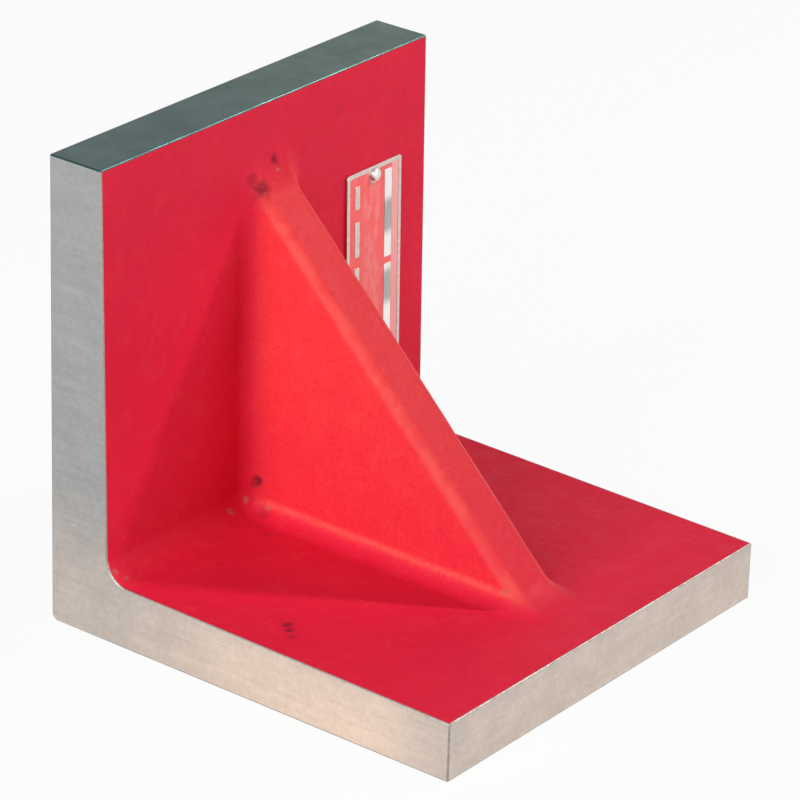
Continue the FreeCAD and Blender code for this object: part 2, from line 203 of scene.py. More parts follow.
class CastingShape:
    """The casting's faces as planes in Y and Z, and the distance from its cast skin."""

    def __init__(self, settings):
        self.settings = settings
        self.half_width = CASTING_HIGH.x
        self.back = CASTING_HIGH.y
        self.front = CASTING_LOW.y
        self.top = CASTING_HIGH.z
        wall_slope, base_slope = settings.wall_draft, settings.base_draft
        self.wall_tip = np.array([self.back - settings.wall_tip, self.top])
        self.base_tip = np.array([self.front, settings.base_tip])
        self.wall_up = np.array([math.sin(wall_slope), math.cos(wall_slope)])
        self.wall_out = np.array([-self.wall_up[1], self.wall_up[0]])
        self.base_back = np.array([math.cos(base_slope), math.sin(base_slope)])
        self.base_out = np.array([-self.base_back[1], self.base_back[0]])
        self.corner = self.meet(self.wall_tip, self.wall_up, self.base_tip, self.base_back)

        apex_drop = settings.rib_top_setback / self.wall_up[1]
        nose_run = settings.rib_front_setback / self.base_back[0]
        self.apex = self.wall_tip - self.wall_up * apex_drop
        self.nose = self.base_tip + self.base_back * nose_run
        self.slope_down = unit(self.nose - self.apex)
        self.slope_out = np.array([self.slope_down[1], -self.slope_down[0]])

    @staticmethod
    def meet(start, along, other_start, other_along):
        """Where two lines in the YZ plane cross."""
        steps = np.linalg.solve(np.column_stack([along, -other_along]), other_start - start)
        return start + along * steps[0]

    def above_wall(self, points):
        return (points[..., 1:] - self.wall_tip) @ self.wall_out

    def above_base(self, points):
        return (points[..., 1:] - self.base_tip) @ self.base_out

    def distance(self, points):
        """Height above the cast skin, with every edge and root rounded."""
        settings = self.settings
        rib = rounded_edge(*self.rib_faces(points), settings.rib_edge_radius)
        angle_faces = rounded_root(
            self.above_wall(points), self.above_base(points), settings.corner_radius)
        return rounded_root(angle_faces, rib, settings.rib_root_radius)

    def edge_gap(self, points):
        """How far a point of the cast skin is from the ground faces round it."""
        gaps = (self.half_width - np.abs(points[..., 0]), self.top - points[..., 2],
                points[..., 1] - self.front)
        return np.minimum.reduce(gaps)

    def rib_faces(self, points):
        """Heights above the rib's side and above its sloping face."""
        settings = self.settings
        above_slope = (points[..., 1:] - self.apex) @ self.slope_out
        half = settings.rib_thickness / 2 + np.maximum(-above_slope, 0) * math.tan(settings.rib_draft)
        return (np.abs(points[..., 0]) - half) * math.cos(settings.rib_draft), above_slope

    def rib_share(self, points):
        """1 on the rib's own faces, 0 on the wall and base."""
        above = np.minimum(self.above_wall(points), self.above_base(points))
        return smooth_share(above / self.settings.rib_root_radius)

    def ridge_share(self, points):
        """1 along the crown of the rib's rounded edges, 0 away from them."""
        side, slope = self.rib_faces(points)
        radius = self.settings.rib_edge_radius
        crown = smooth_share(np.minimum(side + radius, slope + radius) / (0.7 * radius))
        return crown * self.rib_share(points)

    def crease_share(self, points):
        """1 along the line where the rib's sides run into their fillets on the base."""
        height = self.above_base(points)
        side, slope = self.rib_faces(points)
        line = np.exp(-(((height - 0.75 * self.settings.rib_root_radius) / 0.0011) ** 2))
        clear = smooth_share((self.above_wall(points) - 0.004) / 0.004)
        return line * clear * smooth_share(1 - side / 0.003) * smooth_share(-slope / 0.002)


def rounded_edge(first, second, radius):
    """Distance to the outside corner of two faces, rounded off."""
    first = first + radius
    second = second + radius
    outside = np.hypot(np.maximum(first, 0), np.maximum(second, 0))
    return np.minimum(np.maximum(first, second), 0) + outside - radius


def rounded_root(first, second, radius):
    """Distance to the inside corner of two faces, filled with a fillet."""
    under = np.hypot(np.maximum(radius - first, 0), np.maximum(radius - second, 0))
    return np.maximum(radius, np.minimum(first, second)) - under


def spread(start, end, cell):
    """Points from start up to but without end, about a cell apart."""
    steps = max(1, round(float(np.linalg.norm(end - start)) / cell))
    return start + (end - start) * (np.arange(steps) / steps)[:, None]


def cast_stations(shape):
    """Rows of the casting from the wall's top edge down, round the corner and forward.

    Each row is a line in the YZ plane from the cast skin (inner) to the machined side
    (outer), and across the rib from the skin to the sloping face (crest)."""
    settings = shape.settings
    cell, radius, rounding = settings.cell, settings.corner_radius, settings.edge_break
    chamfer = settings.heel_chamfer
    half_turn = math.acos(float(shape.wall_up @ -shape.base_back)) / 2
    reach = radius / math.tan(half_turn)
    wall_end = shape.corner + shape.wall_up * reach
    base_start = shape.corner - shape.base_back * reach
    centre = wall_end + shape.wall_out * radius

    heel = [np.array([shape.back, wall_end[1]]), np.array([shape.back, chamfer]),
            np.array([shape.back - chamfer, 0]), np.array([base_start[0], 0])]
    heel_rows = [heel_cells(start, end, cell) for start, end in zip(heel, heel[1:])]
    heel_outer = np.concatenate(heel_rows)

    turn = np.arange(len(heel_outer)) / len(heel_outer)
    first = math.atan2(*(wall_end - centre)[::-1])
    last = math.atan2(*(base_start - centre)[::-1])
    bend = first + (last - first) * turn
    corner_inner = centre + radius * np.column_stack([np.cos(bend), np.sin(bend)])

    wall_start = shape.wall_tip - shape.wall_up * (rounding / shape.wall_up[1])
    wall_inner = spread(wall_start, wall_end, cell)
    base_finish = shape.base_tip + shape.base_back * (rounding / shape.base_back[0])
    base_inner = spread(base_start, base_finish, cell)
    base_inner = np.vstack([base_inner, base_finish])

    inner = np.vstack([wall_inner, corner_inner, base_inner])
    outer = np.vstack([
        np.column_stack([np.full(len(wall_inner), shape.back), wall_inner[:, 1]]),
        heel_outer,
        np.column_stack([base_inner[:, 0], np.zeros(len(base_inner))]),
    ])
    return inner, outer, rib_crest(shape, inner)


def heel_cells(start, end, cell):
    """The machined side needs few rows round the heel, where the skin has a short arc."""
    return spread(start, end, 3.5 * cell)


def rib_crest(shape, inner):
    """The point of the sloping face that stands over each row; the row's own point elsewhere."""
    run = np.concatenate([[0], np.cumsum(np.linalg.norm(np.diff(inner, axis=0), axis=1))])
    start = np.interp(-shape.apex[1], -inner[:, 1], run)
    end = np.interp(-shape.nose[0], -inner[:, 0], run)
    share = np.clip((run - start) / (end - start), 0, 1)[:, None]
    crest = shape.apex + (shape.nose - shape.apex) * share
    inside = (share > 0) & (share < 1)
    return np.where(inside, crest, inner)


def skin_columns(shape, rise):
    """Across one row: (x, share of the rise to the crest), from left to right."""
    settings = shape.settings
    cell = settings.cell
    edge = shape.half_width - settings.edge_break
    foot = settings.rib_thickness / 2 + settings.rib_root_radius
    shoulder = settings.rib_thickness / 2 - settings.rib_edge_radius / 2
    side = settings.rib_thickness / 2
    flat_count = round((edge - foot) / cell)
    side_count = shape.side_columns
    top_count = max(4, round(2 * shoulder / cell))

    flat = np.linspace(-edge, -foot, flat_count, endpoint=False)
    legs = np.array([foot - side, rise, side - shoulder])
    travel = np.linspace(0, legs.sum(), side_count, endpoint=False)
    marks = np.concatenate([[0], np.cumsum(legs)])
    side_x = np.interp(travel, marks, [-foot, -side, -side, -shoulder])
    side_up = np.interp(travel, marks, [0, 0, 1, 1])
    top = np.linspace(-shoulder, shoulder, top_count + 1)
    left_x = np.concatenate([flat, side_x])
    left_up = np.concatenate([np.zeros(flat_count), side_up])
    x = np.concatenate([left_x, top, -left_x[::-1]])
    up = np.concatenate([left_up, np.ones(len(top)), left_up[::-1]])
    return x, up


def settle(shape, skin, passes):
    """Moves points onto the cast skin along its slope."""
    step = 1e-5
    for _ in range(passes):
        gap = shape.distance(skin)
        slope = np.stack([
            shape.distance(skin + step * axis) - shape.distance(skin - step * axis)
            for axis in np.eye(3)
        ], axis=-1) / (2 * step)
        size = np.maximum((slope**2).sum(axis=-1, keepdims=True), 0.25)
        skin = skin - gap[..., None] * slope / size
    return skin, slope / np.sqrt(size)


def cast_skin(shape, inner, crest):
    """The grid of points on the cast faces, rows by columns, and their normals."""
    rise = np.linalg.norm(crest - inner, axis=1)
    shape.side_columns = round((rise.max() + shape.settings.rib_root_radius) / shape.settings.cell)
    rows = []
    for start, end, height in zip(inner, crest, rise):
        x, up = skin_columns(shape, height)
        rows.append(np.column_stack([x, start + (end - start) * up[:, None]]))
    skin = np.array(rows)
    border = skin.copy()
    skin, normal = settle(shape, skin, 8)
    for _ in range(12):
        middle = (skin[:-2, 1:-1] + skin[2:, 1:-1] + skin[1:-1, :-2] + skin[1:-1, 2:]) / 4
        skin[1:-1, 1:-1] += 0.6 * (middle - skin[1:-1, 1:-1])
        skin, normal = settle(shape, skin, 2)
        skin[0], skin[-1] = border[0], border[-1]
        skin[:, 0], skin[:, -1] = border[:, 0], border[:, -1]
    return skin, normal


# Which material each strip of the casting's faces takes, by its place in the list.
ENAMEL, ARRIS, END_FACE, TOP_FACE, GROUND_FACE, BASE_FACE = range(6)
ROUND_STEPS = 3
END_STEPS = 5
BACK_STEPS = 6


def machined_outline(half_width, depth, inset, radius):
    """One row's machined outline, from the skin's right edge round to its left edge.

    Gives (x, depth below the skin) and each point's material, for a rectangle drawn in
    by inset, with rounded corners."""
    right = half_width - inset
    back = depth - inset
    turns = np.linspace(0, math.pi / 2, ROUND_STEPS + 1)
    points, kinds = [], []

    def add(x, down, kind):
        points.append((x, down))
        kinds.append(kind)

    for turn in turns[1:]:
        add(right - radius + radius * math.sin(turn), inset + radius * (1 - math.cos(turn)), ARRIS)
    for share in np.linspace(0, 1, END_STEPS + 1)[1:]:
        add(right, inset + radius + (back - inset - 2 * radius) * share, END_FACE)
    for turn in turns[1:]:
        add(right - radius * (1 - math.cos(turn)), back - radius * (1 - math.sin(turn)), ARRIS)
    half = points[:]
    half_kinds = kinds[:]
    for share in np.linspace(0, 1, BACK_STEPS + 1)[1:-1]:
        add((right - radius) * (1 - 2 * share), back, GROUND_FACE)
    for (x, down) in half[::-1]:
        points.append((-x, down))
    kinds.append(GROUND_FACE)
    kinds.extend(half_kinds[:0:-1])
    return np.array(points), kinds


def casting_mesh(shape):
    """Vertices, faces and each face's material for the whole casting."""
    settings = shape.settings
    rounding = settings.edge_break
    inner, outer, crest = cast_stations(shape)
    skin, normal = cast_skin(shape, inner, crest)
    skin = skin + normal * skin_relief(shape, skin)[..., None]
    rows, columns = skin.shape[:2]

    def ring(row, inset, radius, skin_row):
        depth = float(np.linalg.norm(outer[row] - inner[row]))
        down = (outer[row] - inner[row]) / depth
        outline, kinds = machined_outline(shape.half_width, depth, inset, radius)
        places = inner[row] + outline[:, 1:] * down
        return np.vstack([skin_row, np.column_stack([outline[:, 0], places])]), kinds

    rings = []
    for row in range(rows):
        points, kinds = ring(row, 0, rounding, skin[row])
        rings.append(points)

    def cap(row, outward):
        """The rounding past the first or last row, drawn in to the flat end."""
        found = []
        down = (outer[row] - inner[row]) / np.linalg.norm(outer[row] - inner[row])
        for turn in np.linspace(0, math.pi / 2, ROUND_STEPS + 1)[1:]:
            inset = rounding * (1 - math.cos(turn))
            shift = np.array([0, *(down * inset)])
            points, _ = ring(row, inset, rounding - inset, skin[row] + shift)
            found.append(points + np.array([0, *outward]) * rounding * math.sin(turn))
        return found

    upward = np.array([0.0, 1.0])
    forward = np.array([-1.0, 0.0])
    rings = cap(0, upward)[::-1] + rings + cap(rows - 1, forward)
    around = len(rings[0])
    strip_kinds = [ENAMEL] * (columns - 1) + kinds + [ARRIS]
    faces, face_kinds = [], []
    for row in range(len(rings) - 1):
        for column in range(around):
            after = (column + 1) % around
            near, far = row * around, (row + 1) * around
            faces.append((near + column, far + column, far + after, near + after))
            if row < ROUND_STEPS:
                kind = TOP_FACE
            elif row >= len(rings) - 1 - ROUND_STEPS:
                kind = ARRIS
            else:
                kind = strip_kinds[column]
            if kind == GROUND_FACE and rings[row][column][2] < shape.settings.heel_chamfer:
                kind = BASE_FACE
            face_kinds.append(kind)
    faces.append(tuple(range(around)))
    face_kinds.append(TOP_FACE)
    faces.append(tuple(range(len(rings) * around - 1, (len(rings) - 1) * around - 1, -1)))
    face_kinds.append(END_FACE)
    return np.vstack(rings), faces, face_kinds


# Flaws of the cast skin: x, y and z in millimetres, radius, depth and how dirty it is.
PITS = (
    (1.2, 55.0, 133.4, 2.2, 0.35, 0.8),
    (-7.6, 52.6, 126.8, 3.4, 0.30, 0.75),
    (-10.0, 54.6, 129.4, 2.6, 0.20, 0.45),
    (-10.4, 49.9, 30.9, 2.3, 0.50, 1.0),
    (-12.0, 46.5, 21.2, 2.4, 0.25, 0.4),
    (-60.4, -3.4, 19.6, 2.5, 0.45, 0.9),
    (-62.6, -6.2, 19.6, 2.2, 0.40, 0.8),
    (-65.6, -9.2, 19.6, 1.9, 0.30, 0.6),
    (-19.0, 38.7, 20.1, 1.9, 0.20, 0.35),
    (33.0, 56.0, 139.6, 3.0, 0.10, 0.15),
)
# Chips of the enamel, along the roots: x, y and z in millimetres, and radius.
CHIPS = (
    (1.0, 53.6, 130.4, 1.6),
    (-7.2, 51.6, 125.9, 1.5),
    (-9.4, 47.4, 30.6, 1.3),
    (-13.4, 52.4, 25.0, 2.2),
    (-20.9, 52.5, 23.5, 2.4),
    (-11.2, 45.6, 23.4, 2.0),
    (-74.0, 52.4, 23.2, 2.0),
    (-72.0, 50.0, 21.2, 1.6),
    (-9.4, -45.0, 24.4, 2.2),
)
MILLIMETRE = 0.001


def wave(points, size, seed):
    """Smooth seeded noise from -1 to 1 whose swells are about size across."""
    scale, shift = 1 / size, Vector((seed * 17.3, seed * 5.1, seed * 9.7))
    flat = [noise.noise(Vector(point) * scale + shift) for point in points.reshape(-1, 3)]
    return np.array(flat).reshape(points.shape[:-1])


def smooth_share(value):
    value = np.clip(value, 0, 1)
    return value * value * (3 - 2 * value)


def chip_marks(skin):
    """1 where the enamel has chipped, 0 where it is whole."""
    chipped = np.zeros(skin.shape[:-1])
    ragged = 1 + 0.5 * wave(skin, 0.0020, 5)
    for *place, radius in CHIPS:
        away = np.linalg.norm(skin - np.array(place) * MILLIMETRE, axis=-1) * ragged
        chipped = np.maximum(chipped, 1 - smooth_share(away / (radius * MILLIMETRE)))
    return chipped


def pit_marks(skin):
    """Depth of the pits and how dirty they make each point of the skin."""
    depth = np.zeros(skin.shape[:-1])
    dirt = np.zeros(skin.shape[:-1])
    ragged = 1 + 0.5 * wave(skin, 0.0024, 4)
    for *place, radius, deep, dirty in PITS:
        away = np.linalg.norm(skin - np.array(place) * MILLIMETRE, axis=-1) * ragged
        fall = np.maximum(1 - (away / (radius * MILLIMETRE)) ** 2, 0) ** 2
        depth += deep * MILLIMETRE * fall
        dirt = np.maximum(dirt, dirty * fall**0.5)
    return depth, dirt


def skin_relief(shape, skin):
    """How far the cast skin stands out or in: slow waves, finer unevenness and pits."""
    settings = shape.settings
    fade = smooth_share(shape.edge_gap(skin) / 0.004)
    apex = np.array([0, *shape.apex])
    near_apex = np.exp(-((np.linalg.norm(skin - apex, axis=-1) / 0.012) ** 2))
    on_rib = shape.rib_share(skin)
    slow = wave(skin, 0.016, 1) * settings.swell
    fine = wave(skin, 0.005, 2) * settings.grain
    hand_filed = wave(skin, 0.009, 3) * (settings.swell * on_rib + 3 * settings.swell * near_apex)
    depth, _ = pit_marks(skin)
    return fade * (slow + fine + hand_filed - depth)


def name_points(mesh, name, values):
    """Stores one number at each vertex, for the finishes to read."""
    mesh.attributes.new(name, "FLOAT", "POINT").data.foreach_set("value", values.astype(np.float32))


# ---------------------------------------------------------------------------
# Finishes


class Finish:
    """A material built up round one shader."""

    def __init__(self, name):
        self.material = bpy.data.materials.new(name)
        self.material.use_nodes = True
        self.tree = self.material.node_tree
        self.tree.nodes.clear()
        self.shader = self.node("BsdfPrincipled")
        self.place = self.node("TexCoord").outputs["Object"]
        out = self.node("OutputMaterial")
        self.tree.links.new(self.shader.outputs["BSDF"], out.inputs["Surface"])

    def node(self, kind, **settings):
        node = self.tree.nodes.new("ShaderNode" + kind)
        for key, value in settings.items():
            setattr(node, key, value)
        return node

    def feed(self, socket, value):
        """Gives a socket a link or a plain value."""
        if isinstance(value, bpy.types.NodeSocket):
            self.tree.links.new(value, socket)
        elif socket.type == "RGBA":
            socket.default_value = (*value, 1)
        else:
            socket.default_value = value

    def set(self, **values):
        for key, value in values.items():
            self.feed(self.shader.inputs[key.replace("_", " ").title().replace("Ior", "IOR")], value)

    def attribute(self, name):
        return self.node("Attribute", attribute_name=name).outputs["Fac"]

    def stretched(self, stretch):
        """The place on the object, drawn out so that a noise on it becomes streaks."""
        node = self.node("VectorMath", operation="MULTIPLY")
        self.feed(node.inputs[0], self.place)
        node.inputs[1].default_value = stretch
        return node.outputs[0]

    def noise(self, size, detail=3.0, roughness=0.55, place=None, distortion=0.0):
        node = self.node("TexNoise")
        self.feed(node.inputs["Vector"], place or self.place)
        node.inputs["Scale"].default_value = 1 / size
        node.inputs["Detail"].default_value = detail
        node.inputs["Roughness"].default_value = roughness
        node.inputs["Distortion"].default_value = distortion
        return node.outputs["Fac"]

    def specks(self, size):
        node = self.node("TexVoronoi", feature="F1")
        self.feed(node.inputs["Vector"], self.place)
        node.inputs["Scale"].default_value = 1 / size
        return node.outputs["Distance"]

    def math(self, operation, first, second=0.0):
        node = self.node("Math", operation=operation)
        self.feed(node.inputs[0], first)
        self.feed(node.inputs[1], second)
        return node.outputs[0]

    def ranged(self, value, low, high, to_low=0.0, to_high=1.0):
        node = self.node("MapRange", interpolation_type="SMOOTHSTEP")
        for name, given in zip(("Value", "From Min", "From Max", "To Min", "To Max"),
                               (value, low, high, to_low, to_high)):
            self.feed(node.inputs[name], given)
        return node.outputs["Result"]

    def blend(self, share, first, second):
        node = self.node("Mix", data_type="RGBA")
        self.feed(node.inputs[0], share)
        self.feed(node.inputs[6], first)
        self.feed(node.inputs[7], second)
        return node.outputs[2]

    def scaled(self, tone, factor):
        """A colour made brighter or darker."""
        node = self.node("VectorMath", operation="SCALE")
        self.feed(node.inputs[0], tone)
        self.feed(node.inputs["Scale"], factor)
        return node.outputs[0]

    def axis(self, name):
        node = self.node("SeparateXYZ")
        self.feed(node.inputs[0], self.place)
        return node.outputs[name]

    def bump(self, *layers):
        """Raises the surface by (height, distance in metres) layers, one over another."""
        normal = None
        for height, distance in layers:
            node = self.node("Bump")
            node.inputs["Distance"].default_value = distance
            self.feed(node.inputs["Height"], height)
            if normal:
                self.feed(node.inputs["Normal"], normal)
            normal = node.outputs["Normal"]
        self.feed(self.shader.inputs["Normal"], normal)


def enamel_finish(colours):
    """Thick red enamel over a cast skin: painted light makes it warmer and brighter high on the rib,
    painted highlights run pale along its ridges and creases, it is chipped in places, and dirty in the
    pits."""
    finish = Finish("red_enamel")
    broad = finish.noise(0.030, 2)
    patchy = finish.noise(0.0075, 4, 0.6)
    fine = finish.noise(0.0014, 3, 0.6)
    grit = finish.noise(0.00045, 2)

    red = finish.blend(finish.ranged(broad, 0.35, 0.65, 0, 0.25), colours.enamel, colours.enamel_deep)
    # Painted light: the rib turns warmer and brighter the higher up it is, as its lit side does.
    high = finish.ranged(finish.axis("Z"), 0.020, 0.085, 0.50, 0.95)
    painted_light_share = finish.math("MULTIPLY", finish.math("MULTIPLY", finish.attribute("rib"), high),
                       finish.ranged(patchy, 0.3, 0.7, 0.75, 1.0))
    red = finish.blend(painted_light_share, red, colours.enamel_painted_light)
    red = finish.blend(finish.ranged(patchy, 0.52, 0.72, 0, 0.10), red, colours.enamel_pale_and_highlight)
    red = finish.blend(finish.ranged(fine, 0.58, 0.30, 0, 0.28), red, colours.enamel_deep)
    # Painted highlight: pale enamel along the crown of the rib's rounded edges and along the creases at
    # the foot of its sides.
    ridge = finish.attribute("ridge")
    crease = finish.math("MULTIPLY", finish.attribute("crease"), finish.ranged(fine, 0.35, 0.6, 0.5, 0.9))
    painted_highlight = finish.math("MAXIMUM", crease, finish.math(
        "MULTIPLY", ridge, finish.ranged(patchy, 0.35, 0.65, 0.35, 0.80)))
    red = finish.blend(painted_highlight, red, colours.enamel_pale_and_highlight)

    specks = finish.ranged(finish.specks(0.009), 0.06, 0.035)
    caught = finish.math("MULTIPLY", specks, finish.ranged(patchy, 0.52, 0.64, 0, 0.45))
    stained = finish.math("MULTIPLY", finish.attribute("grime"), finish.ranged(fine, 0.3, 0.6, 0.45, 1.0))
    dirty = finish.math("MAXIMUM", caught, stained)
    red = finish.blend(finish.ranged(finish.attribute("chipped"), 0.25, 0.75, 0, 0.8), red, colours.chip)
    red = finish.blend(dirty, red, colours.dirt)

    ragged = finish.ranged(finish.noise(0.0022, 4, 0.7), 0.35, 0.80, 0.0, 0.00045)
    bare = finish.ranged(finish.math("SUBTRACT", finish.attribute("edge_gap"), ragged), 0.00008, 0.0)
    skin = finish.blend(bare, red, colours.arris)

    gloss = finish.ranged(patchy, 0.3, 0.7, 0.44, 0.56)
    gloss = finish.math("ADD", gloss, finish.math("MULTIPLY", dirty, 0.30))
    finish.set(base_color=skin, metallic=bare, roughness=gloss, specular_ior_level=0.10)
    finish.bump((patchy, 0.00030), (fine, 0.00010), (grit, 0.00002))
    return finish.material


def ground_finish(name, tone, stretch, rough):
    """Ground iron with fine lines along one direction, and faint blotches and rubs.

    tone(finish, blotch) gives the metal's colour."""
    finish = Finish(name)
    drawn = finish.stretched(stretch)
    lines = finish.noise(0.00030, 2, 0.6, drawn)
    passes = finish.noise(0.0026, 2, 0.5, drawn)
    blotch = finish.noise(0.012, 4, 0.6)
    mottle = finish.noise(0.0016, 3, 0.6)
    rubs = finish.noise(0.0013, 2, 0.5, finish.stretched((1.0, 0.06, 0.7)), 0.6)

    shade = finish.ranged(lines, 0.25, 0.75, 0.93, 1.05)
    for layer, dark, light in ((passes, 0.965, 1.03), (blotch, 1.05, 0.93), (mottle, 0.95, 1.04)):
        shade = finish.math("MULTIPLY", shade, finish.ranged(layer, 0.3, 0.7, dark, light))
    metal = finish.scaled(tone(finish, blotch), shade)

    marks = finish.ranged(rubs, 0.70, 0.74)
    roughness = finish.ranged(blotch, 0.3, 0.7, rough - 0.04, rough + 0.07)
    finish.set(base_color=metal, metallic=0.92,
               roughness=finish.math("ADD", roughness, finish.math("MULTIPLY", marks, 0.10)))
    finish.bump((passes, 0.000015), (mottle, 0.000010), (lines, 0.000008))
    return finish.material


def iron_tones(colours):
    """Grey on the wall, with a painted warm reflection that makes it warmer and brighter low on the base,
    most of all half-way along.
    """
    def tone(finish, blotch):
        height = finish.math("ADD", finish.axis("Z"), finish.ranged(blotch, 0.2, 0.8, -0.004, 0.004))
        low = finish.ranged(height, 0.060, 0.006)
        forward = finish.ranged(finish.axis("Y"), 0.065, -0.030, 0.40, 1.0)
        front = finish.ranged(finish.axis("Y"), -0.076, -0.045, 0.55, 1.0)
        painted_reflection_share = finish.math("MULTIPLY", low, finish.math("MULTIPLY", forward, front))
        return finish.blend(painted_reflection_share, colours.iron, colours.iron_painted_reflection)
    return tone


def top_face_reflection_tones(colours):
    """Painted dark reflection in dark slate green, a little paler to the right."""
    def tone(finish, blotch):
        across = finish.math("ADD", finish.axis("X"), finish.ranged(blotch, 0.2, 0.8, -0.03, 0.03))
        return finish.blend(finish.ranged(across, -0.06, 0.06), colours.top_face_dark_reflection, colours.top_face_pale_reflection)
    return tone


def bright_finish(name, metal, rough):
    """Bright worn metal, for edges, the nameplate and the screws."""
    finish = Finish(name)
    worn = finish.noise(0.0018, 4, 0.65)
    fine = finish.noise(0.0004, 2)
    shade = finish.math("MULTIPLY", finish.ranged(worn, 0.3, 0.75, 1.06, 0.78),
                        finish.ranged(fine, 0.3, 0.7, 0.95, 1.04))
    finish.set(base_color=finish.scaled(tuple(metal), shade), metallic=0.95,
               roughness=finish.ranged(worn, 0.3, 0.7, rough - 0.05, rough + 0.10))
    finish.bump((worn, 0.00003), (fine, 0.000008))
    return finish.material


def plate_field_finish(colours):
    """Lighter red enamel filled into the nameplate, faded in patches and at its right."""
    finish = Finish("nameplate_enamel")
    patchy = finish.noise(0.006, 4, 0.65)
    fine = finish.noise(0.0009, 3)
    mottle = finish.noise(0.0022, 3, 0.7, finish.stretched((1.0, 1.0, 0.35)))
    red = finish.blend(finish.ranged(patchy, 0.45, 0.75, 0, 0.45), colours.plate_enamel,
                       colours.plate_faded)
    middle = (NAMEPLATE_LOW.x + NAMEPLATE_HIGH.x) / 2
    column = finish.ranged(finish.math("ABSOLUTE", finish.math(
        "SUBTRACT", finish.axis("X"), middle - 0.001)), 0.0050, 0.0030)
    worn = finish.math("MULTIPLY", column, finish.ranged(mottle, 0.42, 0.62, 0, 0.55))
    red = finish.blend(worn, red, colours.plate_faded)
    edge = finish.ranged(finish.axis("X"), NAMEPLATE_HIGH.x - 0.0050, NAMEPLATE_HIGH.x - 0.0042, 0, 0.85)
    red = finish.blend(edge, red, colours.plate_pink)
    finish.set(base_color=red, roughness=finish.ranged(fine, 0.3, 0.7, 0.32, 0.46))
    finish.bump((patchy, 0.00004), (fine, 0.00001))
    return finish.material


# Distance between the bright bands of the painted reflection on the nameplate's panels, and the height of
# one band.
PANEL_REFLECTION_SPACING = 0.024
BRIGHTEST_REFLECTION_HEIGHT = 0.110


def plate_panel_finish(colours):
    """Bare polished metal, with a painted reflection in its colour that runs in bright and dull bands."""
    finish = Finish("nameplate_panel")
    brushed = finish.noise(0.0003, 2, 0.6, finish.stretched((1.0, 1.0, 0.04)))
    reflection_wavenumber = 2 * math.pi / PANEL_REFLECTION_SPACING
    along = finish.math("MULTIPLY", finish.axis("Z"), reflection_wavenumber)
    bands = finish.math("COSINE", finish.math("SUBTRACT", along, BRIGHTEST_REFLECTION_HEIGHT * reflection_wavenumber))
    panel_painted_reflection = finish.ranged(bands, -0.6, 0.4)
    metal = finish.blend(panel_painted_reflection, colours.panel_reflection_dark, colours.panel_reflection_light)
    shaded = finish.scaled(metal, finish.ranged(brushed, 0.3, 0.7, 0.92, 1.04))
    finish.set(base_color=shaded, metallic=0.95,
               roughness=finish.ranged(brushed, 0.3, 0.7, 0.24, 0.34))
    finish.bump((brushed, 0.000006))
    return finish.material


# ---------------------------------------------------------------------------
# Pieces


class AnglePlateOperator:
    bl_options = {"REGISTER", "UNDO"}


def add_piece(context, name, mesh, materials, node):
    for material in materials:
        mesh.materials.append(material)
    piece = bpy.data.objects.new(name, mesh)
    context.scene.collection.objects.link(piece)
    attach(piece, "root")
    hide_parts(node)
    return piece


class ANGLEPLATE_OT_casting(AnglePlateOperator, bpy.types.Operator):
    """Build the casting: wall, base and rib with their cast and ground faces"""

    bl_idname = "angle_plate.casting"
    bl_label = "Casting"

    def execute(self, context):
        colours = context.scene.angle_plate_finish
        shape = CastingShape(context.scene.angle_plate_casting)
        points, faces, kinds = casting_mesh(shape)
        mesh = bpy.data.meshes.new("angle_casting")
        mesh.from_pydata(points.tolist(), [], faces)
        mesh.polygons.foreach_set("material_index", kinds)
        mesh.polygons.foreach_set("use_smooth", [kind in (ENAMEL, ARRIS) for kind in kinds])
        name_points(mesh, "edge_gap", shape.edge_gap(points))
        # The ridge and crease shares place the enamel's painted highlights.
        name_points(mesh, "ridge", shape.ridge_share(points))
        name_points(mesh, "crease", shape.crease_share(points))
        name_points(mesh, "rib", shape.rib_share(points))
        name_points(mesh, "grime", pit_marks(points)[1])
        name_points(mesh, "chipped", chip_marks(points))
        work = bmesh.new()
        work.from_mesh(mesh)
        bmesh.ops.remove_doubles(work, verts=work.verts, dist=TINY)
        work.to_mesh(mesh)
        work.free()
        across = (0.02, 0.02, 1.0)
        materials = [
            enamel_finish(colours),
            bright_finish("bright_arris", colours.arris, 0.48),
            ground_finish("ground_ends", iron_tones(colours), across, 0.36),
            ground_finish("dark_top_edge", top_face_reflection_tones(colours), (0.02, 1.0, 1.0), 0.36),
            ground_finish("ground_back", iron_tones(colours), across, 0.30),
            ground_finish("ground_base", iron_tones(colours), (0.02, 1.0, 1.0), 0.30),
        ]
        add_piece(context, "angle_casting", mesh, materials, "casting")
        return {"FINISHED"}


def rounded_rectangle(left, right, top, bottom, radius, steps=6):
    """Points round a rectangle on the nameplate, u to the right and v down."""
    corners = ((right - radius, top + radius, -90), (right - radius, bottom - radius, 0),
               (left + radius, bottom - radius, 90), (left + radius, top + radius, 180))
    points = []
    for u, v, first in corners:
        for step in range(steps + 1):
            turn = math.radians(first + 90 * step / steps)
            points.append((u + radius * math.cos(turn), v + radius * math.sin(turn)))
    return points


def circle(u, v, radius, steps=32):
    turns = [2 * math.pi * step / steps for step in range(steps)]
    return [(u + radius * math.cos(turn), v + radius * math.sin(turn)) for turn in turns]


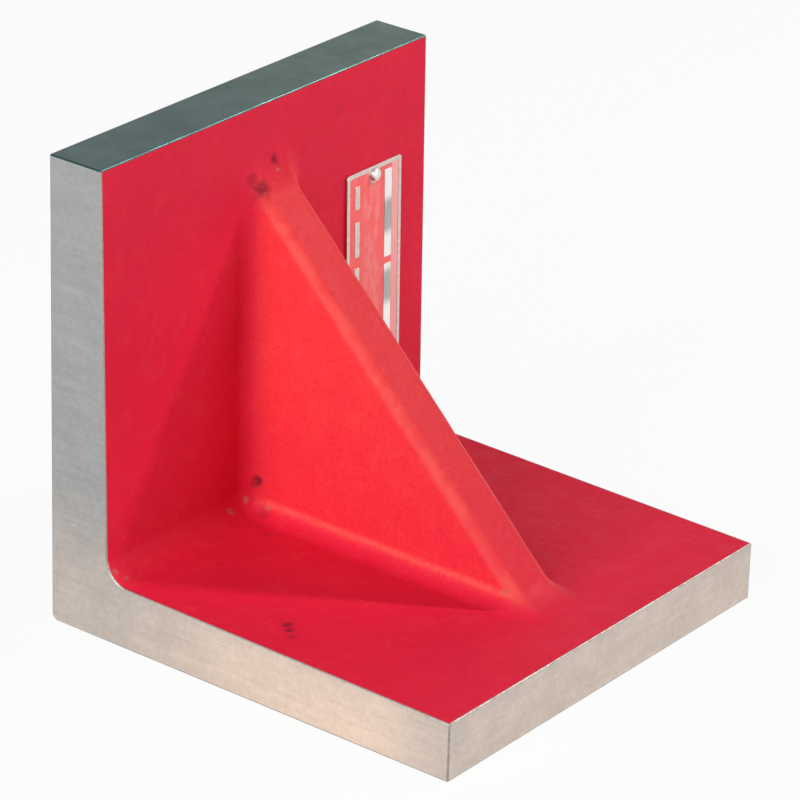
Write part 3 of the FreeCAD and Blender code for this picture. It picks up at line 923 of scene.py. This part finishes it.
def field_outline(plate, inset):
    """The enamelled field's outline: inside the border and round the two screw tabs."""
    left, right = plate.border + inset, plate.width - plate.border - inset
    top, bottom = plate.border + inset, plate.length - plate.border - inset
    radius = plate.tab_radius + inset
    middle = plate.width / 2
    rise = plate.screw_inset - top
    open_turn = math.asin(rise / radius)
    arc = [-open_turn + (math.pi + 2 * open_turn) * step / 20 for step in range(21)]
    upper_tab = [(middle - radius * math.cos(turn), plate.screw_inset + radius * math.sin(turn))
                 for turn in arc]
    lower_tab = [(plate.width - u, plate.length - v) for u, v in upper_tab]
    corner = 0.0006
    outline = rounded_rectangle(left, right, top, bottom, corner)
    steps = len(outline) // 4
    return (outline[:2 * steps] + lower_tab + outline[2 * steps:] + upper_tab)


# Blank raised marks of the nameplate, in millimetres: left, right, top, bottom.
PANELS = ((18.6, 22.2, 3.0, 32.6), (18.6, 22.2, 35.0, 62.6))
BARS = ((3.9, 6.3, 4.6, 12.4), (3.9, 6.3, 16.6, 28.4), (3.9, 6.3, 32.0, 43.0), (3.9, 6.3, 47.0, 60.0))
PLATE_METAL, PLATE_FIELD, PLATE_PANEL = range(3)


class ANGLEPLATE_OT_nameplate(AnglePlateOperator, bpy.types.Operator):
    """Build the nameplate: a bright border and blank panels round an enamelled field"""

    bl_idname = "angle_plate.nameplate"
    bl_label = "Nameplate"

    def execute(self, context):
        plate = context.scene.angle_plate_nameplate
        colours = context.scene.angle_plate_finish
        self.work = bmesh.new()
        thick, round_off, depth = plate.thickness, plate.edge_round, plate.field_depth
        full = (0, plate.width, 0, plate.length)
        outer = self.loops([
            (self.inset_rectangle(full, round_off, plate.corner_radius), 0),
            (self.inset_rectangle(full, 0, plate.corner_radius), round_off),
            (self.inset_rectangle(full, 0, plate.corner_radius), thick - round_off),
            (self.inset_rectangle(full, round_off * 0.3, plate.corner_radius), thick - round_off * 0.3),
            (self.inset_rectangle(full, round_off, plate.corner_radius), thick),
        ], PLATE_METAL)
        middle = plate.width / 2
        holes = [self.loops([
            (circle(middle, v, plate.hole_radius), thick),
            (circle(middle, v, plate.hole_radius), 0),
        ], PLATE_METAL) for v in (plate.screw_inset, plate.length - plate.screw_inset)]
        step = depth / 2
        field = self.loops([
            (field_outline(plate, 0), thick),
            (field_outline(plate, step * 0.3), thick - step),
            (field_outline(plate, step), thick - depth),
        ], PLATE_METAL)
        self.fill([outer[0]] + [hole[-1] for hole in holes], PLATE_METAL, False)
        self.fill([outer[-1], field[0]] + [hole[0] for hole in holes], PLATE_METAL, True)
        marks = []
        for group, kind in ((PANELS, PLATE_PANEL), (BARS, PLATE_METAL)):
            for mark in group:
                box = [edge * MILLIMETRE for edge in mark]
                radius = 0.0004
                rings = self.loops([
                    (self.inset_rectangle(box, 0, radius), thick - depth),
                    (self.inset_rectangle(box, step * 0.7, radius), thick - step),
                    (self.inset_rectangle(box, step, radius), thick),
                ], kind)
                self.fill([rings[-1]], kind, True)
                marks.append(rings[0])
        self.fill([field[-1]] + marks, PLATE_FIELD, True)
        bmesh.ops.recalc_face_normals(self.work, faces=self.work.faces)
        mesh = bpy.data.meshes.new("nameplate_sheet")
        self.work.to_mesh(mesh)
        self.work.free()
        mesh.transform(plate_matrix(context))
        materials = [
            bright_finish("nameplate_metal", colours.plate_metal, 0.34),
            plate_field_finish(colours),
            plate_panel_finish(colours),
        ]
        add_piece(context, "nameplate_sheet", mesh, materials, "nameplate")
        return {"FINISHED"}

    @staticmethod
    def inset_rectangle(box, inset, radius):
        left, right, top, bottom = box
        return rounded_rectangle(
            left + inset, right - inset, top + inset, bottom - inset, radius - inset * 0.8)

    def loops(self, levels, kind):
        """Joins closed loops at rising or falling levels with a band of faces."""
        rings = []
        for points, level in levels:
            rings.append([self.work.verts.new((u, -v, level)) for u, v in points])
        for lower, upper in zip(rings, rings[1:]):
            for index in range(len(lower)):
                after = (index + 1) % len(lower)
                face = self.work.faces.new((lower[index], lower[after], upper[after], upper[index]))
                face.material_index = kind
        return rings

    def fill(self, rings, kind, faces_out):
        """Covers the area inside the first loop and outside the others."""
        edges = []
        for ring in rings:
            for index, vert in enumerate(ring):
                pair = (vert, ring[(index + 1) % len(ring)])
                edges.append(self.work.edges.get(pair) or self.work.edges.new(pair))
        normal = Vector((0, 0, 1 if faces_out else -1))
        made = bmesh.ops.triangle_fill(self.work, use_beauty=True, edges=edges, normal=normal)
        for face in made["geom"]:
            if isinstance(face, bmesh.types.BMFace):
                face.material_index = kind


def plate_matrix(context):
    """From the nameplate's own u, -v and height to its place on the wall's face."""
    plate = context.scene.angle_plate_nameplate
    shape = CastingShape(context.scene.angle_plate_casting)
    up = Vector((0, *shape.wall_up))
    out = Vector((0, *shape.wall_out))
    middle = (NAMEPLATE_LOW + NAMEPLATE_HIGH) / 2
    right = Vector((1, 0, 0))
    corner = middle - out * plate.thickness / 2 + up * plate.length / 2 - right * plate.width / 2
    return Matrix.Translation(corner) @ Matrix((right, up, out)).transposed().to_4x4()


# The flutes' twist in radians a metre, and their depth as a share of the shank's radius.
FLUTE_TWIST = 900
FLUTE_DEPTH = 0.06


class ANGLEPLATE_OT_drive_screws(AnglePlateOperator, bpy.types.Operator):
    """Build the two round-head drive screws that hold the nameplate"""

    bl_idname = "angle_plate.drive_screws"
    bl_label = "Drive screws"

    def execute(self, context):
        plate = context.scene.angle_plate_nameplate
        screw = context.scene.angle_plate_screws
        colours = context.scene.angle_plate_finish
        profile = self.profile(screw)
        points, faces = [], []
        for v in (plate.screw_inset, plate.length - plate.screw_inset):
            self.turn(screw, profile, (plate.width / 2, -v, plate.thickness), points, faces)
        mesh = bpy.data.meshes.new("round_head_screws")
        mesh.from_pydata(points, [], faces)
        mesh.shade_smooth()
        mesh.transform(plate_matrix(context))
        materials = [bright_finish("screw_steel", colours.screw_metal, 0.26)]
        add_piece(context, "round_head_screws", mesh, materials, "drive_screws")
        return {"FINISHED"}

    @staticmethod
    def profile(screw):
        """(radius, height, is fluted) from the top of the head down to the tip."""
        rim = 0.00022
        head = screw.head_height
        dome = head - rim
        points = []
        for step in range(1, 13):
            turn = math.radians(90 * step / 12)
            points.append((screw.head_radius * math.sin(turn) ** 0.92,
                           rim + dome * math.cos(turn) ** 0.75, False))
        points.append((screw.head_radius, rim * 0.35, False))
        points.append((screw.head_radius - rim * 0.4, 0, False))
        points.append((screw.shank_radius * 0.93, 0, False))
        straight = screw.shank_length - screw.tip_length
        for step in range(1, 13):
            points.append((screw.shank_radius, -straight * step / 12, step > 2))
        points.append((screw.tip_radius, -screw.shank_length, False))
        return points

    @staticmethod
    def turn(screw, profile, place, points, faces):
        """Turns the profile into a closed screw, with its helical flutes."""
        first = len(points)
        x, y, z = place
        points.append((x, y, z + screw.head_height))
        for radius, height, fluted in profile:
            for segment in range(screw.segments):
                turn = 2 * math.pi * segment / screw.segments
                ridge = math.cos(screw.flutes * turn + FLUTE_TWIST * height)
                reach = radius * (1 - FLUTE_DEPTH + FLUTE_DEPTH * ridge) if fluted else radius
                points.append((x + reach * math.cos(turn), y + reach * math.sin(turn), z + height))
        points.append((x, y, z - screw.shank_length))
        last = len(points) - 1
        for segment in range(screw.segments):
            after = (segment + 1) % screw.segments
            faces.append((first, first + 1 + segment, first + 1 + after))
            for ring in range(len(profile) - 1):
                near = first + 1 + ring * screw.segments
                far = near + screw.segments
                faces.append((near + segment, far + segment, far + after, near + after))
            end = last - screw.segments
            faces.append((end + segment, last, end + after))


# ---------------------------------------------------------------------------
# Stage


def view_direction(azimuth, elevation):
    """From the middle of the object towards the camera or lamp."""
    return Vector((
        math.sin(azimuth) * math.cos(elevation),
        -math.cos(azimuth) * math.cos(elevation),
        math.sin(elevation),
    ))


def looking_along(forward, roll=0.0):
    """Rotation of a camera or lamp that points along forward, with its top up."""
    right = forward.cross(Vector((0, 0, 1))).normalized()
    above = right.cross(forward)
    turned_right = math.cos(roll) * right + math.sin(roll) * above
    turned_up = -math.sin(roll) * right + math.cos(roll) * above
    return Matrix((turned_right, turned_up, -forward)).transposed().to_4x4()


def add_camera(context, stage, middle):
    camera = bpy.data.cameras.new("studio_camera")
    camera.lens = stage.lens
    camera.clip_end = 10 * stage.distance
    away = view_direction(stage.azimuth, stage.elevation)
    place = middle + Vector(stage.aim) + away * stage.distance
    holder = bpy.data.objects.new("studio_camera", camera)
    holder.matrix_world = Matrix.Translation(place) @ looking_along(-away, stage.roll)
    context.scene.collection.objects.link(holder)
    context.scene.camera = holder


def add_lamp(context, stage, name, middle):
    """A round soft lamp that points at the middle of the casting."""
    lamp = bpy.data.lights.new(name + "_lamp", "AREA")
    lamp.shape = "DISK"
    lamp.size = getattr(stage, name + "_size")
    lamp.energy = getattr(stage, name + "_power")
    towards = view_direction(getattr(stage, name + "_azimuth"), getattr(stage, name + "_elevation"))
    holder = bpy.data.objects.new(lamp.name, lamp)
    place = middle + towards * stage.lamp_distance
    holder.matrix_world = Matrix.Translation(place) @ looking_along(-towards)
    context.scene.collection.objects.link(holder)


class ANGLEPLATE_OT_stage(AnglePlateOperator, bpy.types.Operator):
    """Set up the floor, the soft lamps, the world and the camera"""

    bl_idname = "angle_plate.stage"
    bl_label = "Studio"

    def execute(self, context):
        stage = context.scene.angle_plate_stage
        middle = (CASTING_LOW + CASTING_HIGH) / 2
        add_camera(context, stage, middle)
        for name in LAMPS:
            add_lamp(context, stage, name, middle)
        add_floor(context, stage)
        light_world(context, stage)
        context.scene.view_settings.view_transform = "Standard"
        return {"FINISHED"}


def seen_directly(tree):
    """1 for rays from the camera or by way of a gloss or glass, 0 for soft light."""
    path = tree.nodes.new("ShaderNodeLightPath")
    total = path.outputs["Is Camera Ray"]
    for name in ("Is Glossy Ray", "Is Transmission Ray"):
        larger = tree.nodes.new("ShaderNodeMath")
        larger.operation = "MAXIMUM"
        tree.links.new(total, larger.inputs[0])
        tree.links.new(path.outputs[name], larger.inputs[1])
        total = larger.outputs[0]
    return total


def add_floor(context, stage):
    mesh = bpy.data.meshes.new("studio_floor")
    work = bmesh.new()
    bmesh.ops.create_grid(work, x_segments=1, y_segments=1, size=stage.floor_size / 2)
    work.to_mesh(mesh)
    work.free()
    material = bpy.data.materials.new("studio_floor")
    material.use_nodes = True
    tree = material.node_tree
    tree.nodes.clear()
    paper = tree.nodes.new("ShaderNodeBsdfDiffuse")
    paper.inputs["Color"].default_value = (*stage.floor_colour, 1)
    glow = tree.nodes.new("ShaderNodeEmission")
    glow.inputs["Strength"].default_value = 1.0
    blend = tree.nodes.new("ShaderNodeMixShader")
    share = tree.nodes.new("ShaderNodeMath")
    share.operation = "MULTIPLY"
    share.inputs[1].default_value = stage.floor_glow
    out = tree.nodes.new("ShaderNodeOutputMaterial")
    tree.links.new(seen_directly(tree), share.inputs[0])
    tree.links.new(share.outputs[0], blend.inputs["Fac"])
    tree.links.new(paper.outputs[0], blend.inputs[1])
    tree.links.new(glow.outputs[0], blend.inputs[2])
    tree.links.new(blend.outputs[0], out.inputs["Surface"])
    mesh.materials.append(material)
    floor = bpy.data.objects.new("studio_floor", mesh)
    context.scene.collection.objects.link(floor)


def light_world(context, stage):
    world = bpy.data.worlds.new("studio_world")
    world.use_nodes = True
    tree = world.node_tree
    tree.nodes.clear()
    soft = tree.nodes.new("ShaderNodeBackground")
    soft.inputs["Strength"].default_value = stage.ambient
    white = tree.nodes.new("ShaderNodeBackground")
    white.inputs["Color"].default_value = (1, 1, 1, 1)
    white.inputs["Strength"].default_value = 1.0
    blend = tree.nodes.new("ShaderNodeMixShader")
    out = tree.nodes.new("ShaderNodeOutputWorld")
    tree.links.new(seen_directly(tree), blend.inputs["Fac"])
    tree.links.new(soft.outputs[0], blend.inputs[1])
    tree.links.new(white.outputs[0], blend.inputs[2])
    tree.links.new(blend.outputs[0], out.inputs["Surface"])
    context.scene.world = world


# ---------------------------------------------------------------------------
# Panel and registration


class ANGLEPLATE_PT_panel(bpy.types.Panel):
    """Lists the pieces and the studio"""

    bl_idname = "ANGLEPLATE_PT_panel"
    bl_label = "Angle Plate"
    bl_space_type = "VIEW_3D"
    bl_region_type = "UI"
    bl_category = "Angle Plate"

    def draw(self, context):
        for operator in OPERATORS:
            self.layout.operator(operator.bl_idname)


OPERATORS = (ANGLEPLATE_OT_casting, ANGLEPLATE_OT_nameplate, ANGLEPLATE_OT_drive_screws,
             ANGLEPLATE_OT_stage)
SETTINGS = {
    "angle_plate_casting": CastingSettings,
    "angle_plate_nameplate": NameplateSettings,
    "angle_plate_screws": ScrewSettings,
    "angle_plate_finish": FinishSettings,
    "angle_plate_stage": StageSettings,
}


def register():
    for cls in (*SETTINGS.values(), *OPERATORS, ANGLEPLATE_PT_panel):
        bpy.utils.register_class(cls)
    for name, cls in SETTINGS.items():
        setattr(bpy.types.Scene, name, PointerProperty(type=cls))


def unregister():
    for name in SETTINGS:
        delattr(bpy.types.Scene, name)
    for cls in (ANGLEPLATE_PT_panel, *reversed(OPERATORS), *reversed(SETTINGS.values())):
        bpy.utils.unregister_class(cls)


def main():
    register()
    bpy.ops.angle_plate.casting()
    bpy.ops.angle_plate.nameplate()
    bpy.ops.angle_plate.drive_screws()
    bpy.ops.angle_plate.stage()


if __name__ == "__main__":
    main()
